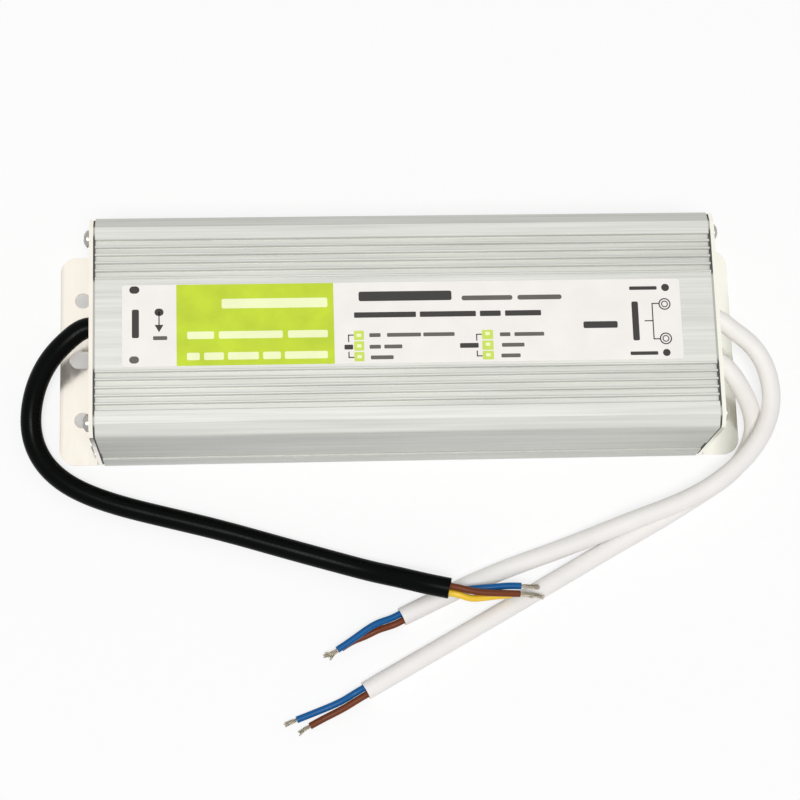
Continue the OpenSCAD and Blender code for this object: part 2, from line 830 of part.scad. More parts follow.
module heat_spreader(x, side) {
    color([0.8, 0.8, 0.8])
        translate([x, side * (bore_half - spreader_t / 2), spreader_z + spreader_h / 2])
            cube([spreader_len, spreader_t, spreader_h], center = true);
}

module primary_heat_spreader() {
    heat_spreader(primary_x, 1);
}

module secondary_heat_spreader() {
    heat_spreader(secondary_x, -1);
}

// Power transistor with its tab against the inner face of the rear spreader
module power_transistor(x) {
    translate([x, spreader_in, spreader_z]) {
        translate([-transistor_w / 2, -tab_t, 0]) cube([transistor_w, tab_t, tab_h]);
        translate([-transistor_w / 2, -tab_t - transistor_t, 0])
            cube([transistor_w, transistor_t + eps, transistor_h]);
        for (i = [-1:1]) translate([i * pin_pitch, -tab_t - transistor_t / 2, -spreader_lift])
            cylinder(d = pin_d, h = spreader_lift + pin_sink);
    }
}

module switching_transistor() {
    color([0.14, 0.14, 0.14]) power_transistor(primary_x);
}

module output_rectifier() {
    color([0.14, 0.14, 0.14]) mirror([0, 1, 0]) for (s = [-1, 1])
        power_transistor(secondary_x + s * spreader_len / 4);
}

// Two windows of the transformer's core, on either side of its middle leg
window_w = (core_len - core_mid) / 2 - core_leg;
window_h = core_h - 2 * core_leg;
window_mid = core_mid / 2 + window_w / 2;
core_z = board_top + core_h / 2;

module transformer_core() {
    color([0.22, 0.22, 0.22]) translate([transformer_x, 0, core_z]) difference() {
        cube([core_len, core_t, core_h], center = true);
        for (s = [-1, 1]) translate([s * window_mid, 0, 0])
            cube([window_w, core_t + 2, window_h], center = true);
    }
}

// Box with a square hole, both centred on the transformer's middle leg
module leg_sleeve(outer_x, outer_y, inner_x, inner_y, h) {
    difference() {
        cube([outer_x, outer_y, h], center = true);
        cube([inner_x, inner_y, h + 2], center = true);
    }
}

module transformer_bobbin() {
    flange_x = core_mid + 2 * (window_w - board_clear);
    flange_y = core_t + 2 * bobbin_reach;
    color([0.85, 0.83, 0.75]) translate([transformer_x, 0, core_z]) {
        leg_sleeve(core_mid + 2 * bobbin_t, core_t + 2 * bobbin_t, core_mid, core_t, window_h);
        for (s = [-1, 1]) translate([0, 0, s * (window_h - bobbin_t) / 2])
            leg_sleeve(flange_x, flange_y, core_mid, core_t, bobbin_t);
    }
}

module transformer_winding() {
    color([0.85, 0.72, 0.2]) translate([transformer_x, 0, core_z])
        leg_sleeve(core_mid + 2 * (window_w - winding_gap), core_t + 2 * (bobbin_reach - winding_gap),
            core_mid + 2 * bobbin_t, core_t + 2 * bobbin_t, window_h - 2 * bobbin_t);
}

module control_chip() {
    color([0.1, 0.1, 0.1]) translate([chip_x, chip_y, board_top + chip_h / 2])
        cube([chip_len, chip_w, chip_h], center = true);
}

module optocoupler() {
    color([0.1, 0.1, 0.1]) translate([opto_x, opto_y, board_top + opto_h / 2])
        cube([opto_w, opto_len, opto_h], center = true);
}

// Lead from a cord's inner end at the output side, bent down to the board
module lead(y) {
    run = cord_start - lead_x - lead_bend_r;
    translate([cord_start, y, outlet_h]) rotate([0, -90, 0]) cylinder(d = lead_d, h = run);
    translate([lead_x + lead_bend_r, y, outlet_h - lead_bend_r]) rotate([90, 0, 0])
        rotate([0, 0, 90]) rotate_extrude(angle = 90) translate([lead_bend_r, 0]) circle(d = lead_d);
    translate([lead_x, y, board_top]) cylinder(d = lead_d, h = outlet_h - lead_bend_r - board_top);
}

module output_leads() {
    color([0.5, 0.35, 0.25]) for (y = [-output_outlet_y, output_outlet_y], s = [-0.5, 0.5])
        lead(y + s * lead_pitch);
}

module input_leads() {
    color([0.5, 0.35, 0.25]) rotate([0, 0, 180]) for (s = [-1:1])
        lead(-input_outlet_y + s * lead_pitch);
}

blue = [0.1, 0.35, 0.7];
brown = [0.45, 0.22, 0.14];
tin = [0.72, 0.7, 0.62];

module input_cord() {
    color([0.05, 0.05, 0.05]) swept_tube(input_route, input_cord_d, cord_sides);
}

module input_cord_blue_core() {
    color(blue) swept_tube(input_blue, input_core_d, core_sides);
}

module input_cord_brown_core() {
    color(brown) swept_tube(input_brown, input_core_d, core_sides);
}

module input_cord_earth_core() {
    color([0.9, 0.78, 0.15]) swept_tube(input_earth, input_core_d, core_sides);
}

module strands(cores, tips) {
    color(tin) for (i = [0:len(tips) - 1])
        swept_tube(strand_route(cores[i], tips[i]), strand_d, core_sides);
}

module input_cord_strands() {
    strands([input_blue, input_brown, input_earth], input_tips);
}

module output_cord_rear() {
    color([0.92, 0.91, 0.9]) swept_tube(rear_route, output_cord_d, cord_sides);
}

module output_cord_rear_blue_core() {
    color(blue) swept_tube(rear_blue, output_core_d, core_sides);
}

module output_cord_rear_brown_core() {
    color(brown) swept_tube(rear_brown, output_core_d, core_sides);
}

module output_cord_rear_strands() {
    strands([rear_blue, rear_brown], rear_tips);
}

module output_cord_front() {
    color([0.92, 0.91, 0.9]) swept_tube(front_route, output_cord_d, cord_sides);
}

module output_cord_front_blue_core() {
    color(blue) swept_tube(front_blue, output_core_d, core_sides);
}

module output_cord_front_brown_core() {
    color(brown) swept_tube(front_brown, output_core_d, core_sides);
}

module output_cord_front_strands() {
    strands([front_blue, front_brown], front_tips);
}

housing();
rating_label();
input_end_plate();
output_end_plate();
input_gasket();
output_gasket();
input_end_screws();
output_end_screws();
input_grommet();
output_grommet_rear();
output_grommet_front();
potting_resin();
insulating_sheet();
circuit_board();
fuse();
surge_varistor();
inrush_thermistor();
suppression_capacitor();
line_filter_core();
line_filter_winding();
bridge_rectifier();
bulk_capacitor();
primary_heat_spreader();
switching_transistor();
transformer_core();
transformer_bobbin();
transformer_winding();
secondary_heat_spreader();
output_rectifier();
output_choke_core();
output_choke_winding();
output_capacitors();
interference_capacitor();
control_chip();
optocoupler();
input_leads();
output_leads();
input_cord();
input_cord_blue_core();
input_cord_brown_core();
input_cord_earth_core();
input_cord_strands();
output_cord_rear();
output_cord_rear_blue_core();
output_cord_rear_brown_core();
output_cord_rear_strands();
output_cord_front();
output_cord_front_blue_core();
output_cord_front_brown_core();
output_cord_front_strands();
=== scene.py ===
"""Looks of a potted LED driver: ribbed aluminium housing, coated end plates, printed label and three
free cords."""
import json
import math

import bpy
import numpy as np
from mathutils import Matrix


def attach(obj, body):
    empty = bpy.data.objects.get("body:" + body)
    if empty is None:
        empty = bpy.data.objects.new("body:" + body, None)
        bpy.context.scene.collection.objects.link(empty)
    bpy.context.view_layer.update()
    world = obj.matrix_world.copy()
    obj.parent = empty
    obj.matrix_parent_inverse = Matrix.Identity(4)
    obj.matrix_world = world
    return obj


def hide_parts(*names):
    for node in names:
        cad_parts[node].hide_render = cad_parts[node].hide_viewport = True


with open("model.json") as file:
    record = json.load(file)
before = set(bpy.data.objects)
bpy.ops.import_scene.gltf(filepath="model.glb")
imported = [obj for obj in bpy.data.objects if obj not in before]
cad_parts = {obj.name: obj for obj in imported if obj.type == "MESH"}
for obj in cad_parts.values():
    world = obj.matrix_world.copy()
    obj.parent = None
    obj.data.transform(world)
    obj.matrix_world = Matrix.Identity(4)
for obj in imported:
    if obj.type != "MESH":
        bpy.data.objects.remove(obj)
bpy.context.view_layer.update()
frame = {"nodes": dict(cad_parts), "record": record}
MM = 0.001
UP = (0.0, 0.0, 1.0)


# Lines and surfaces

SHARP_ANGLE = math.radians(40)


def unit(v):
    """Each row divided by its length."""
    v = np.asarray(v, float)
    return v / np.linalg.norm(v, axis=-1, keepdims=True)


def smooth_line(points, step):
    """Natural cubic spline through the points over chord length: the second derivatives at the points
    solve the tridiagonal equations of a continuous slope, and each span is the cubic between its two
    ends."""
    p = np.array(points, float)
    chord = np.linalg.norm(np.diff(p, axis=0), axis=1)
    knots = np.concatenate([[0.0], np.cumsum(chord)])
    inner = np.arange(1, len(p) - 1)
    system = np.eye(len(p))
    system[inner, inner - 1] = chord[:-1]
    system[inner, inner] = 2 * (chord[:-1] + chord[1:])
    system[inner, inner + 1] = chord[1:]
    turn = np.zeros_like(p)
    turn[1:-1] = 6 * np.diff(np.diff(p, axis=0) / chord[:, None], axis=0)
    second = np.linalg.solve(system, turn)
    at = np.linspace(0, knots[-1], max(3, math.ceil(knots[-1] / step) + 1))
    k = np.clip(np.searchsorted(knots, at, side="right") - 1, 0, len(p) - 2)
    span = chord[k][:, None]
    past = (at - knots[k])[:, None]
    ahead = span - past
    bend = (second[k] * ahead**3 + second[k + 1] * past**3) / (6 * span)
    start = p[k] / span - second[k] * span / 6
    end = p[k + 1] / span - second[k + 1] * span / 6
    return bend + start * ahead + end * past


def across(line):
    """Direction along a line by central differences, and the two directions across it, level and
    upright."""
    along = unit(np.gradient(line, axis=0))
    level = unit(np.cross(along, UP))
    return along, level, np.cross(level, along)


def tube_grid(centres, level, upright, radii, sides):
    """Ring i is the circle of radius radii[i] round centres[i], in the plane of its level and upright
    directions."""
    a = np.linspace(0, 2 * math.pi, sides, endpoint=False)[:, None]
    spoke = np.cos(a) * level[..., None, :] + np.sin(a) * upright[..., None, :]
    return centres[..., None, :] + radii[..., None, None] * spoke


def tubes(name, grids, finish):
    """Mesh of one or more tubes, each a grid of rings by points around: quads join neighbouring rings, a
    polygon closes each end, and the UV map holds the share of the turn and the metres along the tube's
    own surface."""
    grids = np.asarray(grids, float)
    grids = grids[None] if grids.ndim == 3 else grids
    count, rings, sides = grids.shape[:3]
    index = np.arange(count * rings * sides).reshape(count, rings, sides)
    after = np.roll(index, -1, axis=2)
    quads = np.stack([index[:, :-1], index[:, 1:], after[:, 1:], after[:, :-1]], axis=-1).reshape(-1, 4)
    caps = np.concatenate([index[:, 0], index[:, -1, ::-1]])
    mesh = bpy.data.meshes.new(name)
    mesh.from_pydata(grids.reshape(-1, 3).tolist(), [], quads.tolist() + caps.tolist())
    walk = np.linalg.norm(np.diff(grids[:, :, 0], axis=1), axis=-1)
    along = np.concatenate([np.zeros((count, 1)), np.cumsum(walk, axis=1)], axis=1)
    turn = np.broadcast_to(np.arange(sides) / sides, (count, rings - 1, sides))
    low = np.broadcast_to(along[:, :-1, None], turn.shape)
    high = np.broadcast_to(along[:, 1:, None], turn.shape)
    corners = [(turn, low), (turn, high), (turn + 1 / sides, high), (turn + 1 / sides, low)]
    wall_uv = np.stack([np.stack(c, axis=-1) for c in corners], axis=-2).reshape(-1, 2)
    end_along = np.repeat(np.concatenate([along[:, 0], along[:, -1]]), sides)
    end_uv = np.stack([np.zeros(caps.size), end_along], axis=-1)
    layer = mesh.uv_layers.new(name="along")
    layer.data.foreach_set("uv", np.concatenate([wall_uv, end_uv]).astype(np.float32).ravel())
    mesh.polygons.foreach_set("use_smooth", np.ones(len(mesh.polygons), bool))
    mesh.set_sharp_from_angle(angle=SHARP_ANGLE)
    return placed(name, mesh, finish)


def placed(name, mesh, finish):
    """Object at the origin for a mesh that holds its own place."""
    mesh.materials.append(finish)
    mesh.update()
    piece = bpy.data.objects.new(name, mesh)
    bpy.context.scene.collection.objects.link(piece)
    return piece


# Nodes and finishes

NOISE_SPAN = (0.3, 0.7)
CLOUD_SPAN = (0.35, 0.65)


def srgb(red, green, blue):
    """Linear colour of a picture colour given in steps of 255."""
    c = np.array([red, green, blue]) / 255
    linear = np.where(c <= 0.04045, c / 12.92, ((c + 0.055) / 1.055) ** 2.4)
    return (*linear.tolist(), 1.0)


def add_node(tree, kind, inputs=(), **settings):
    """New node with its settings, and with each given input joined to a socket or set to a value."""
    node = tree.nodes.new(kind)
    for key, value in settings.items():
        setattr(node, key, value)
    for socket, value in dict(inputs).items():
        if isinstance(value, bpy.types.NodeSocket):
            tree.links.new(value, node.inputs[socket])
        else:
            node.inputs[socket].default_value = value
    return node


def calc(tree, operation, *terms):
    """Output of a math node on the terms, each a socket or a number."""
    return add_node(tree, "ShaderNodeMath", enumerate(terms), operation=operation).outputs[0]


class Finish:
    """One Principled material. Constant values sit on the shader's own sockets, and patterns join it by
    nodes."""

    def __init__(self, name, colour, roughness, metallic=0.0, specular=0.5):
        self.material = bpy.data.materials.new(name)
        self.material.use_nodes = True
        self.material.diffuse_color = colour
        self.tree = self.material.node_tree
        self.shader = self.tree.nodes["Principled BSDF"]
        self.colour = colour
        values = {"Base Color": colour, "Roughness": roughness, "Metallic": metallic,
                  "Specular IOR Level": specular}
        for socket, value in values.items():
            self.shader.inputs[socket].default_value = value
        self.coords = self.node("ShaderNodeTexCoord").outputs

    def node(self, kind, inputs=(), **settings):
        return add_node(self.tree, kind, inputs, **settings)

    def calc(self, operation, *terms):
        return calc(self.tree, operation, *terms)

    def join(self, socket, value):
        self.tree.links.new(value, self.shader.inputs[socket])

    def axes(self, source="Object"):
        """The three coordinates, each as a value of its own."""
        return self.node("ShaderNodeSeparateXYZ", {0: self.coords[source]}).outputs

    def noise(self, scale, detail=3.0, stretch=(1.0, 1.0, 1.0), source="Object"):
        """Noise over the coordinates, squeezed along each axis by the stretch."""
        place = self.node("ShaderNodeMapping", {"Vector": self.coords[source], "Scale": stretch})
        inputs = {"Vector": place.outputs[0], "Scale": scale, "Detail": detail}
        return self.node("ShaderNodeTexNoise", inputs).outputs["Fac"]

    def bands(self, factor, stops):
        """Colour that passes through the (place, colour) stops as the factor grows."""
        ramp = self.node("ShaderNodeValToRGB", {"Fac": factor})
        for _ in stops[2:]:
            ramp.color_ramp.elements.new(0.9)
        for element, (place, tone) in zip(ramp.color_ramp.elements, stops):
            element.position, element.color = place, tone
        return ramp.outputs["Color"]

    def shade(self, factor, stops):
        """Base colour that passes through (place, share) stops, each a share of the finish's colour."""
        tones = [(*[min(1.0, share * c) for c in self.colour[:3]], 1.0) for _, share in stops]
        self.join("Base Color", self.bands(factor, [(s[0], tone) for s, tone in zip(stops, tones)]))

    def clouds(self, scale, detail, dark, light):
        """Base colour in soft clouds between a darker and a lighter share of the finish's colour."""
        self.shade(self.noise(scale, detail), list(zip(CLOUD_SPAN, (dark, light))))

    def gloss(self, factor, low, high):
        """Roughness that follows the factor between two values."""
        inputs = {"Value": factor, "From Min": NOISE_SPAN[0], "From Max": NOISE_SPAN[1], "To Min": low,
                  "To Max": high}
        self.join("Roughness", self.node("ShaderNodeMapRange", inputs).outputs[0])

    def relief(self, height, depth, strength=0.5, over=None):
        """Bump of the given depth in metres, on top of another one where that is given."""
        inputs = {"Height": height, "Distance": depth, "Strength": strength}
        if over is not None:
            inputs["Normal"] = over
        bump = self.node("ShaderNodeBump", inputs)
        self.join("Normal", bump.outputs["Normal"])
        return bump.outputs["Normal"]


def anodised(name, colour, roughness, ledge, dust_depth, dusty):
    """Clear-anodised extrusion: streaks and fine die lines along the length, a blasted grain, and painted
    shade on the ledge of the side channels at the given height, which takes the colour down to its shaded
    share there."""
    f = Finish(name, colour, roughness, metallic=0.6)
    die_lines = f.noise(scale=1600, detail=4.0, stretch=(0.008, 1.0, 1.0))
    streaks = f.noise(scale=620, stretch=(0.03, 1.0, 0.35))
    grain = f.noise(scale=2600, detail=2.0)
    mean = f.calc("MULTIPLY", f.calc("ADD", die_lines, streaks), 0.5)
    # Painted shade: the colour drops to its shaded share on the channel ledge, dimming the highlight there
    dust = f.calc("COMPARE", f.axes()[2], ledge, dust_depth)
    tone = f.calc("MULTIPLY_ADD", dust, -0.4, mean)
    f.shade(tone, [(0.15, dusty), (0.4, 0.92), (0.6, 1.06)])
    f.gloss(grain, roughness - 0.05, roughness + 0.06)
    f.relief(grain, 0.006 * MM, over=f.relief(die_lines, 0.003 * MM))
    return f.material


def bright_coat(name, colour, blush, blush_rise, reach, lean, dulled):
    """Pale bright coat on folded sheet: a soft mirror, with a shallow rolling grain and a faint warm blush
    in clouds that grow towards -X. Its colour is multiplied by a painted shade that greys it towards the
    outer edges of the flanges, which on the +X side is also a painted reflection of the cords' shaded
    undersides. Each stop of that shade is a place along X between -reach and reach with its grey, and the
    stops lean by a share of Y on the +X side."""
    f = Finish(name, colour, roughness=0.18, metallic=0.8)
    x, y, _ = f.axes()
    warm = f.calc("MULTIPLY_ADD", x, -blush_rise, f.noise(scale=60))
    clouds = f.bands(warm, list(zip(CLOUD_SPAN, (colour, blush))))
    slant = f.calc("MULTIPLY", y, f.calc("GREATER_THAN", x, 0.0))
    inputs = {"Value": f.calc("MULTIPLY_ADD", slant, lean, x), "From Min": -reach, "From Max": reach}
    share = f.node("ShaderNodeMapRange", inputs).outputs[0]
    # Painted shade: greys that darken the sheet towards the flanges' outer edges, on +X also a painted
    # reflection
    grey = f.bands(share, [((place / reach + 1) / 2, (tone, tone, tone, 1.0)) for place, tone in dulled])
    # Inputs 6 and 7 of the mix node are its two colours, and output 2 is what they make
    shaded_coat = f.node("ShaderNodeMix", {0: 1.0, 6: clouds, 7: grey}, data_type="RGBA", blend_type="MULTIPLY")
    f.join("Base Color", shaded_coat.outputs[2])
    grain = f.noise(scale=700, stretch=(1.0, 0.2, 1.0))
    f.gloss(grain, 0.13, 0.23)
    f.relief(grain, 0.008 * MM)
    return f.material


def soft_skin(name, colour, roughness, grain=1500, depth=0.02 * MM, contrast=0.05, specular=0.5):
    """Moulded or extruded plastic and rubber: faint clouds of colour and a fine skin texture."""
    f = Finish(name, colour, roughness, specular=specular)
    skin = f.noise(grain)
    f.clouds(scale=60, detail=4.0, dark=1 - contrast, light=1 + contrast)
    f.gloss(skin, roughness - 0.05, roughness + 0.07)
    f.relief(skin, depth)
    return f.material


def gasket_skin(name, colour, dusty, ribs, slope):
    """Foam gasket: the pale foam goes over to a painted shade where its edge lies open at the groove ends and
    along the slopes, which is where the distance from the middle lies in the span of the ribs or beyond the
    start of the slope."""
    f = Finish(name, colour, roughness=0.6)
    far, fade = 2 * slope, 0.02
    inner, outer, beyond = ribs[0] / far, ribs[1] / far, slope / far
    share = f.calc("DIVIDE", f.calc("ABSOLUTE", f.axes()[1]), far)
    # Painted shade: the gasket turns dark at the open groove ends and along the slopes
    f.join("Base Color", f.bands(share, [
        (inner - fade, colour), (inner, dusty), (outer, dusty), (outer + fade, colour),
        (beyond - 0.75 * fade, colour), (beyond, dusty)]))
    f.relief(f.noise(scale=1500), 0.04 * MM)
    return f.material


def jacket_skin(name, colour, roughness, contrast, specular):
    """Extruded cord jacket: faint drawing lines along the cord and a skin of fine pimples."""
    f = Finish(name, colour, roughness, specular=specular)
    drawn = f.noise(scale=40, stretch=(1.0, 2.0, 1.0), source="UV")
    skin = f.noise(scale=1800, detail=2.0)
    f.clouds(scale=90, detail=4.0, dark=1 - contrast, light=1 + contrast)
    f.gloss(skin, roughness - 0.05, roughness + 0.08)
    f.relief(skin, 0.03 * MM, over=f.relief(drawn, 0.06 * MM))
    return f.material


def striped_skin(name, colour, stripe, roughness):
    """Core insulation with one stripe of a second colour along it, over a quarter of the turn, which
    wanders a little."""
    f = Finish(name, colour, roughness)
    wander = f.noise(scale=25, detail=2.0, stretch=(0.0, 6.0, 1.0), source="UV")
    turn = f.calc("MULTIPLY_ADD", wander, 0.12, f.axes("UV")[0])
    f.join("Base Color", f.bands(turn, [(0.50, colour), (0.53, stripe), (0.78, stripe), (0.81, colour)]))
    skin = f.noise(scale=1800, detail=2.0)
    f.gloss(skin, roughness - 0.05, roughness + 0.07)
    f.relief(skin, 0.02 * MM)
    return f.material


def bare_metal(name, colour, roughness):
    """Plated, drawn or rolled metal: fine grain in gloss and clouds in colour."""
    f = Finish(name, colour, roughness, metallic=1.0)
    skin = f.noise(scale=1800)
    f.clouds(scale=220, detail=4.0, dark=0.85, light=1.06)
    f.gloss(skin, roughness - 0.08, roughness + 0.1)
    f.relief(skin, 0.01 * MM)
    return f.material


def film(name, colour, contrast=0.02, roughness=0.38):
    """Printed label film: nearly even colour with a very fine tooth."""
    f = Finish(name, colour, roughness)
    tooth = f.noise(scale=3000, detail=2.0)
    f.clouds(scale=120, detail=5.0, dark=1 - contrast, light=1 + contrast)
    f.gloss(tooth, roughness - 0.05, roughness + 0.08)
    f.relief(tooth, 0.008 * MM, strength=0.4)
    return f.material


finishes = {}


def dress(slot, kind, *look, **more):
    """Makes the finish of one material slot."""
    finishes[slot] = kind(slot, *look, **more)


# The extrusion's finish paints shade on the ledge of its side channels
dress("anodised_aluminium", anodised, srgb(200, 201, 195), 0.5, ledge=9.5 * MM, dust_depth=0.2 * MM,
      dusty=0.74)
dress("label_film", film, srgb(243, 239, 234))
# The coated sheet's finish paints shade and reflection towards the flanges' outer edges
dress("coated_sheet", bright_coat, srgb(249, 248, 236), blush=srgb(251, 244, 233), blush_rise=1.6,
      reach=110 * MM, lean=-0.15,
      dulled=[(-107 * MM, 0.6), (-106.37 * MM, 0.97), (102.96 * MM, 0.97), (110 * MM, 0.55)])
dress("black_rubber", soft_skin, srgb(26, 26, 27), 0.6)
# The gasket's finish paints shade at the groove ends and along the slopes
dress("grey_rubber", gasket_skin, srgb(176, 176, 171), dusty=srgb(62, 62, 60),
      ribs=(14.2 * MM, 27.2 * MM), slope=31.2 * MM)
dress("white_rubber", soft_skin, srgb(232, 229, 225), 0.5)
dress("plated_steel", bare_metal, srgb(168, 166, 160), 0.28)
dress("potting", soft_skin, srgb(58, 58, 61), 0.5, grain=400, depth=0.06 * MM)
dress("insulation", soft_skin, srgb(235, 228, 205), 0.5)
dress("board_laminate", soft_skin, srgb(40, 108, 62), 0.4, grain=700, depth=0.03 * MM, contrast=0.1)
dress("fuse_body", soft_skin, srgb(226, 224, 212), 0.45)
dress("disc_coating", soft_skin, srgb(30, 78, 165), 0.3)
dress("dark_coating", soft_skin, srgb(46, 58, 46), 0.4)
dress("film_case", soft_skin, srgb(222, 184, 46), 0.4)
dress("ferrite", soft_skin, srgb(62, 62, 64), 0.55, grain=900, depth=0.04 * MM)
dress("powder_core", soft_skin, srgb(222, 196, 58), 0.5)
dress("enamelled_wire", bare_metal, srgb(190, 110, 58), 0.28)
dress("wound_tape", soft_skin, srgb(222, 188, 58), 0.35)
dress("moulding_compound", soft_skin, srgb(36, 36, 38), 0.5)
dress("can_sleeve", soft_skin, srgb(34, 40, 58), 0.3)
dress("spreader_bar", bare_metal, srgb(206, 206, 206), 0.35)
dress("lead_wire", bare_metal, srgb(196, 140, 96), 0.3)
dress("black_jacket", jacket_skin, srgb(3, 5, 4), 0.28, contrast=0.2, specular=0.045)
dress("white_jacket", jacket_skin, srgb(238, 235, 232), 0.55, contrast=0.02, specular=0.3)
dress("blue_insulation", soft_skin, srgb(8, 88, 148), 0.34, specular=0.2)
dress("brown_insulation", soft_skin, srgb(108, 52, 22), 0.36, contrast=0.12, specular=0.2)
dress("earth_insulation", striped_skin, srgb(238, 196, 44), srgb(120, 170, 52), 0.36)
dress("tinned_strands", bare_metal, srgb(172, 164, 148), 0.3)
green_ink = film("green_ink", srgb(193, 215, 36), contrast=0.07, roughness=0.42)
lime_ink = film("lime_ink", srgb(203, 224, 92), contrast=0.05, roughness=0.42)
pale_ink = film("pale_ink", srgb(243, 249, 196), contrast=0.03, roughness=0.42)
black_ink = film("black_ink", srgb(30, 27, 24), contrast=0.1, roughness=0.5)
grey_ink = film("grey_ink", srgb(88, 84, 78), contrast=0.08, roughness=0.5)

for row in frame["record"]["subparts"]:
    materials = frame["nodes"][row["node"]].data.materials
    materials.clear()
    materials.append(finishes[row["material_slot"]])


# Cords: the routes repeat the points of the CAD solids, in millimetres

INPUT_D, OUTPUT_D, CORE_D = 6.5 * MM, 5.8 * MM, 2.1 * MM
CORE_OUT, STRAND_OUT = 3.0 * MM, 1.5 * MM
BORE_BACK, STRIP_BACK = 1.6 * MM, 1.0 * MM
JACKET_STEP, CORE_STEP, STRAND_STEP = 1.2 * MM, 0.6 * MM, 0.05 * MM
JACKET_SIDES, CORE_SIDES, WIRE_SIDES = 40, 28, 8
SWELL, SWELL_WAVES = 0.004, (7.3 * MM, 17.0 * MM)
# Rims: millimetres past the end of the line, and share of the radius
JACKET_RIM = np.array([[-0.15, 0.985], [0.0, 0.93], [0.04, 0.86], [0.0, 0.8], [-0.3, 0.78], [-1.7, 0.77]])
CORE_RIM = np.array([[-0.08, 0.96], [0.0, 0.84], [0.0, 0.62], [-0.88, 0.58]])
WIRES, WIRE_R, WIRE_RINGS = 7, 0.19 * MM, 26
SHORTEST_WIRE = 0.84
TWIST, TWIST_SPREAD = 2.6, 0.12
BUNDLE_R, SPLAY, SPLAY_SPREAD = 0.4 * MM, 0.28 * MM, (0.2, 1.6)


def metres(points):
    return np.array(points, float) * MM


input_route = metres([
    [-88, 6, 17], [-92, 6, 17], [-97.5, 6, 17], [-102.8, 2.9, 16.2], [-108.7, -2.6, 13.5],
    [-112.9, -9, 9.8], [-115.2, -16.5, 6.4], [-115.3, -24, 4.2], [-112.4, -31.9, 3.3], [-106, -38.9, 3.3],
    [-95, -44.8, 3.3], [-78, -50.1, 3.3], [-58, -55.4, 3.3], [-38, -61.4, 3.3], [-20, -66.8, 3.4],
    [-10, -69.8, 4.4], [-2.5, -72, 6.6], [5, -74.3, 8.8], [12.6, -76.2, 9.8]])
rear_route = metres([
    [88, 7, 17], [92, 7, 17], [97.5, 7, 17], [104, 2.8, 16.6], [109, -1, 15.5], [112.9, -6, 14.6],
    [115.2, -12.5, 13.7], [115.6, -19.5, 13], [113.9, -26.2, 12.4], [109.2, -34.1, 11.9],
    [101.9, -41.3, 11.1], [92.8, -47.3, 10.2], [82.9, -51.7, 9.5], [72.5, -55.3, 8.6], [66.2, -57.5, 7.6],
    [59.7, -59.7, 5.9], [54, -61.6, 4.2], [46, -64.3, 3], [29, -70.2, 2.9], [6.9, -79.6, 2.9],
    [-1.9, -83.7, 2.9]])
front_route = metres([
    [88, -7, 17], [92, -7, 17], [97.5, -7, 17], [102.8, -11.2, 16], [107, -16.4, 12.4],
    [110, -21.6, 8.4], [111, -27.3, 5.2], [109.4, -32.4, 4], [103.8, -39.8, 3.2], [95.4, -45.7, 2.9],
    [81.2, -54.1, 2.9], [63.6, -63.7, 2.9], [51.7, -70.3, 2.9], [34.3, -79.9, 2.9], [18.6, -88.5, 2.9],
    [-3.4, -100.5, 2.9], [-13.6, -106.1, 2.9]])


def core_route(route, offset, points):
    """Points of a core that leaves the end of a jacket at a level and an upright offset, straight on at
    first."""
    along = unit(route[-1] - route[-2])
    level = unit(np.cross(along, UP))
    start = route[-1] + offset[0] * level + offset[1] * np.cross(level, along)
    return np.concatenate([[start - BORE_BACK * along, start, start + CORE_OUT * along], metres(points)])


def strand_route(core_points, tip):
    """Points of a strand bundle: from inside the stripped end of a core, straight on and then to its
    tip."""
    end = core_points[-1]
    along = unit(end - core_points[-2])
    return np.array([end - STRIP_BACK * along, end, end + STRAND_OUT * along, metres(tip)])


def cut_tube(line, radii, rim, radius, sides):
    """Rings with the given radii along a line, and then over the rim of its cut end."""
    along, level, upright = across(line)
    centres = np.concatenate([line, line[-1] + rim[:, :1] * MM * along[-1]])
    more = ((0, len(rim)), (0, 0))
    level, upright = np.pad(level, more, mode="edge"), np.pad(upright, more, mode="edge")
    return tube_grid(centres, level, upright, np.concatenate([radii, rim[:, 1] * radius]), sides)


def jacket(name, route, diameter, finish):
    """Cord jacket: the circle carried along the spline, nowhere lower than on the floor, with a slow swell
    of under one percent, then over the rounded rim of its cut end and back into the bore."""
    radius = diameter / 2
    line = smooth_line(route, JACKET_STEP)
    line[:, 2] = np.maximum(line[:, 2], radius)
    way = np.arange(len(line)) * JACKET_STEP
    wave = np.sin(way / SWELL_WAVES[0]) * np.sin(way / SWELL_WAVES[1])
    grid = cut_tube(line, radius * (1 - SWELL + SWELL * wave), JACKET_RIM, radius, JACKET_SIDES)
    return tubes(name, grid, finish), line


def core(name, route, diameter, finish):
    """Insulated core: the circle carried along the spline, with a cut end that has a small rounded rim."""
    radius = diameter / 2
    line = smooth_line(route, CORE_STEP)
    return tubes(name, cut_tube(line, np.full(len(line), radius), CORE_RIM, radius, CORE_SIDES), finish)


